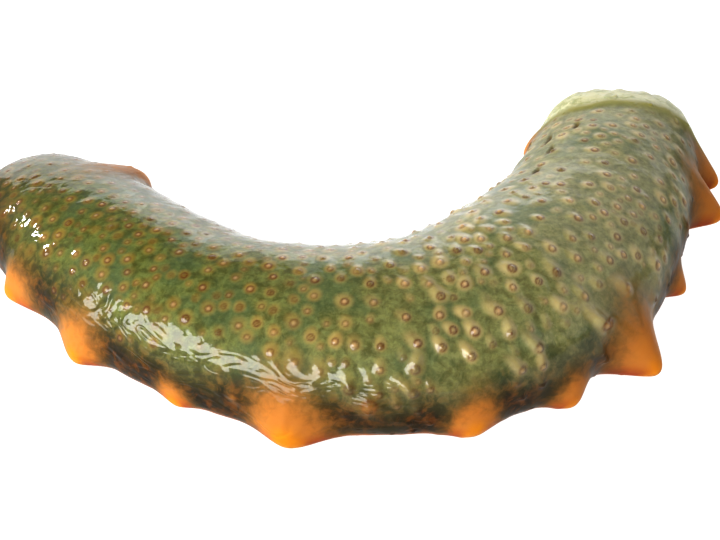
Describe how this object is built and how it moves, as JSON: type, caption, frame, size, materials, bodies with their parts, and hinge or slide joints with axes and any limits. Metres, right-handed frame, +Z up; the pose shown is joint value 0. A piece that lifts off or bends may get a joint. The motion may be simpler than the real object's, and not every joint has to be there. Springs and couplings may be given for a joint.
{
  "type": "sea cucumber",
  "caption": "Spiny green sea cucumber lying curled in an open arc, with a warty back, rows of cone-shaped papillae on both flanks and tube feet on its flat sole.",
  "frame": {"origin": "middle of the floor rectangle that the animal covers, on the floor plane", "axes": "+X from the head's side to the tail's side, +Y towards the hollow of the arc, +Z up"},
  "size_m": [0.1588, 0.097, 0.0285],
  "materials": {
    "skin": "wet, mottled green skin with orange-brown papillae",
    "tentacles": "wet, pale brown"
  },
  "bodies": {
    "root": {"head_end": "skin", "front_length": "skin", "middle_length": "skin", "rear_length": "skin", "hind_length": "skin", "tail_end": "skin", "mouth_tentacles": "tentacles"}
  },
  "joints": []
}
